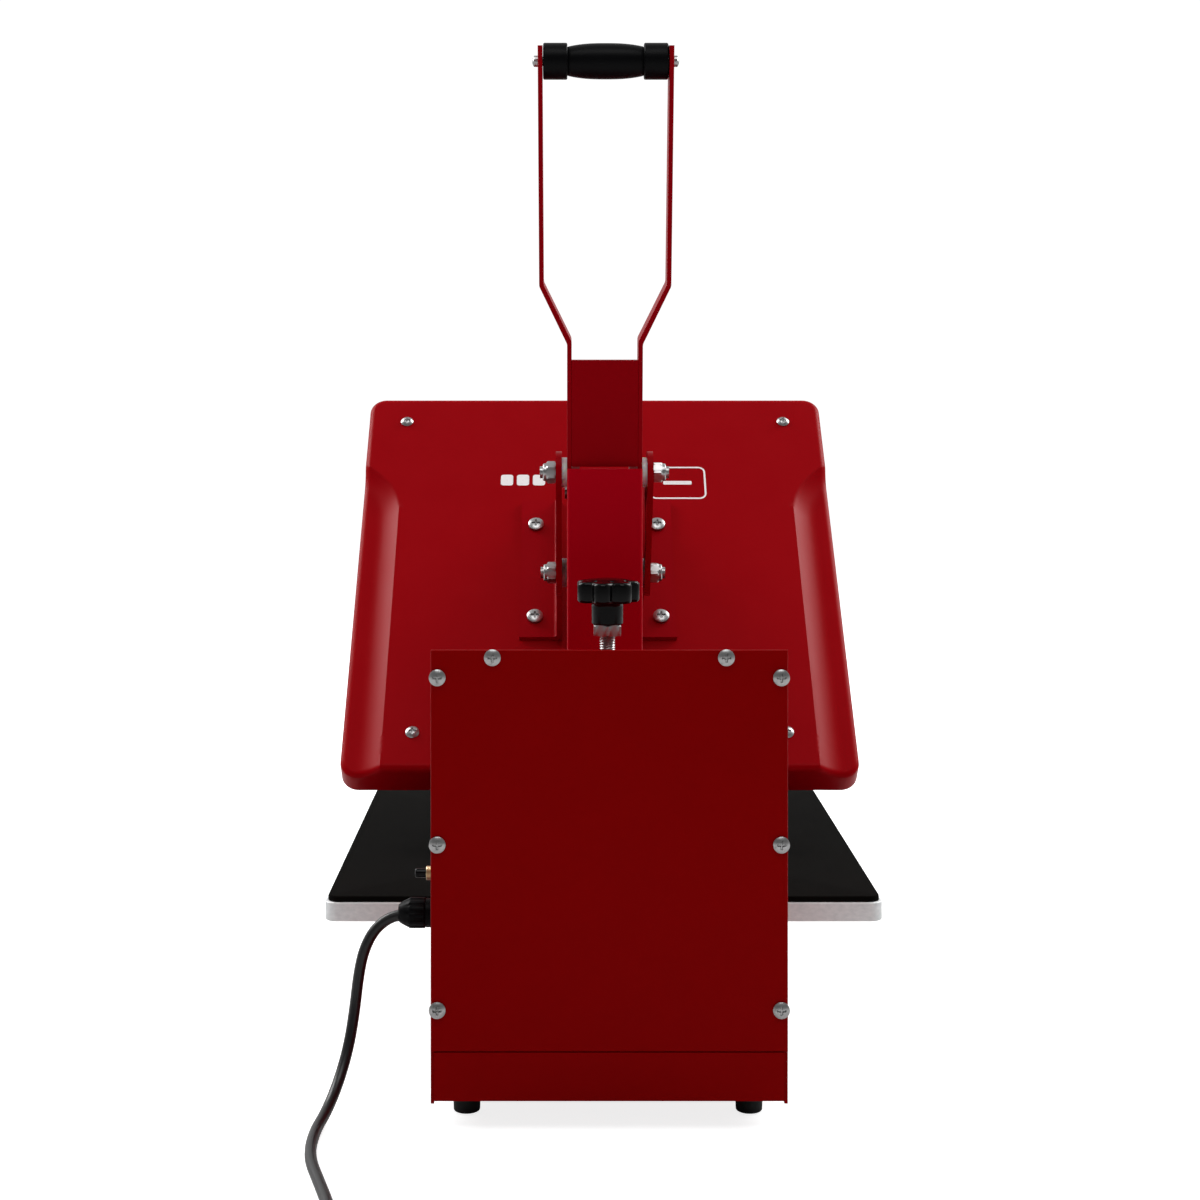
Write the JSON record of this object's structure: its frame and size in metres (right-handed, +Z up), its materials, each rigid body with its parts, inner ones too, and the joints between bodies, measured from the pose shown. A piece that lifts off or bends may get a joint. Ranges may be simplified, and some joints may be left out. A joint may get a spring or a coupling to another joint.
{
  "type": "heat press",
  "caption": "Clamshell heat press, open: hinged hot plate over a padded lower platen, toggle handle, pressure screw and control box behind.",
  "frame": {"origin": "middle of the footprint without the cord, on the floor under the rubber feet", "axes": "+Z up; the operator stands on the -Y side; the control box and the cord are on the +Y side; +X is the operator's right"},
  "size_m": [0.392, 0.8452, 0.6698],
  "materials": {
    "red_paint": "gloss powder coat",
    "red_cover": "gloss enamel",
    "zinc": "bright zinc plate",
    "steel": "plain steel",
    "cast_aluminium": "satin cast and machined",
    "silicone": "matte black silicone",
    "rubber": "black rubber",
    "black_plastic": "black moulded plastic",
    "grip_foam": "black satin grip",
    "nylon": "white nylon",
    "display": "smoked window",
    "board": "green circuit board",
    "brass": "plain brass",
    "insulation": "white fibre blanket",
    "cord": "black PVC sheath"
  },
  "bodies": {
    "frame": {"base_pan": "red_paint", "side_plate_left": "red_paint", "side_plate_right": "red_paint", "rear_cover": "red_paint", "rear_cover_screws": "zinc", "control_panel": "red_paint", "front_panel": "red_paint", "display_window": "display", "display_board": "board", "power_switch_body": "black_plastic", "feet": "rubber", "foot_screws": "zinc", "column": "red_paint", "frame_bolts": "zinc", "pressure_bridge": "steel", "lower_platen": "cast_aluminium", "silicone_pad": "silicone", "platen_pedestal": "red_paint", "platen_screws": "zinc", "heat_sink": "cast_aluminium", "solid_state_relay": "black_plastic", "terminal_block": "nylon", "gland_body": "black_plastic", "gland_nut": "black_plastic", "gland_locknut": "zinc", "breaker_body": "black_plastic", "breaker_nut": "brass", "power_cord": "cord", "cord_coil": "cord", "plug_body": "cord", "plug_pins": "brass"},
    "upper_platen": {"platen_cover": "red_cover", "platen_cover_screws": "zinc", "heating_platen": "cast_aluminium", "heater_element": "steel", "insulation_blanket": "insulation", "thermal_cutout": "steel", "yoke_plate_left": "red_paint", "yoke_plate_right": "red_paint", "bracket_screws": "zinc", "pivot_bolts": "zinc", "pivot_nuts": "zinc", "pivot_washers": "nylon"},
    "handle": {"handle_bars": "red_paint", "handle_web": "red_paint", "toggle_pin": "steel", "grip_rod": "zinc"},
    "grip": {"grip": "grip_foam"},
    "toggle_link": {"toggle_link": "steel"},
    "pressure_knob": {"knob": "black_plastic", "jam_nut": "zinc", "pressure_screw": "zinc"},
    "carriage": {"screw_carriage": "steel", "anchor_pin": "steel"},
    "rocker": {"power_rocker": "black_plastic"},
    "key_down": {"key_down": "black_plastic"},
    "key_set": {"key_set": "black_plastic"},
    "key_up": {"key_up": "black_plastic"},
    "reset_button": {"reset_button": "black_plastic"}
  },
  "joints": [
    {"name": "platen_hinge", "type": "hinge", "parent": "frame", "child": "upper_platen", "pos_m": [0, 0.0935, 0.317], "axis": [1, 0, 0], "range_deg": [0, 46]},
    {"name": "handle_turn", "type": "hinge", "parent": "upper_platen", "child": "handle", "pos_m": [0, 0.1455, 0.389], "axis": [1, 0, 0], "range_deg": [0, 38.5]},
    {"name": "link_turn", "type": "hinge", "parent": "handle", "child": "toggle_link", "pos_m": [0, 0.11261, 0.37436], "axis": [1, 0, 0], "range_deg": [-77.08, 0]},
    {"name": "grip_spin", "type": "hinge", "parent": "handle", "child": "grip", "pos_m": [0, 0.18857, 0.65787], "axis": [1, 0, 0], "continuous": true},
    {"name": "knob_turn", "type": "hinge", "parent": "frame", "child": "pressure_knob", "pos_m": [0, 0.2395, 0.29], "axis": [0, 0, 1], "range_deg": [-720, 720]},
    {"name": "screw_feed", "type": "slide", "parent": "frame", "child": "carriage", "axis": [0, 0, 1], "range_m": [-0.00305, 0.00305]},
    {"name": "rocker_tip", "type": "hinge", "parent": "frame", "child": "rocker", "pos_m": [-0.064, 0.17942, 0.22959], "axis": [-1, 0, 0], "range_deg": [0, 12]},
    {"name": "key_down_press", "type": "slide", "parent": "frame", "child": "key_down", "axis": [0, 0.7114, -0.7028], "range_m": [0, 0.0015], "stiffness_N_per_m": 300, "springref_m": -0.0004},
    {"name": "key_set_press", "type": "slide", "parent": "frame", "child": "key_set", "axis": [0, 0.7114, -0.7028], "range_m": [0, 0.0015], "stiffness_N_per_m": 300, "springref_m": -0.0004},
    {"name": "key_up_press", "type": "slide", "parent": "frame", "child": "key_up", "axis": [0, 0.7114, -0.7028], "range_m": [0, 0.0015], "stiffness_N_per_m": 300, "springref_m": -0.0004},
    {"name": "reset_press", "type": "slide", "parent": "frame", "child": "reset_button", "axis": [-1, 0, 0], "range_m": [0, 0.003], "stiffness_N_per_m": 300, "springref_m": -0.001}
  ],
  "couplings": [
    {"joint": "handle_turn", "follows": "platen_hinge", "ratio": 0.82609},
    {"joint": "link_turn", "follows": "platen_hinge", "ratio": -1.6648},
    {"joint": "screw_feed", "follows": "knob_turn", "m_per_rad": 0.00023873}
  ]
}
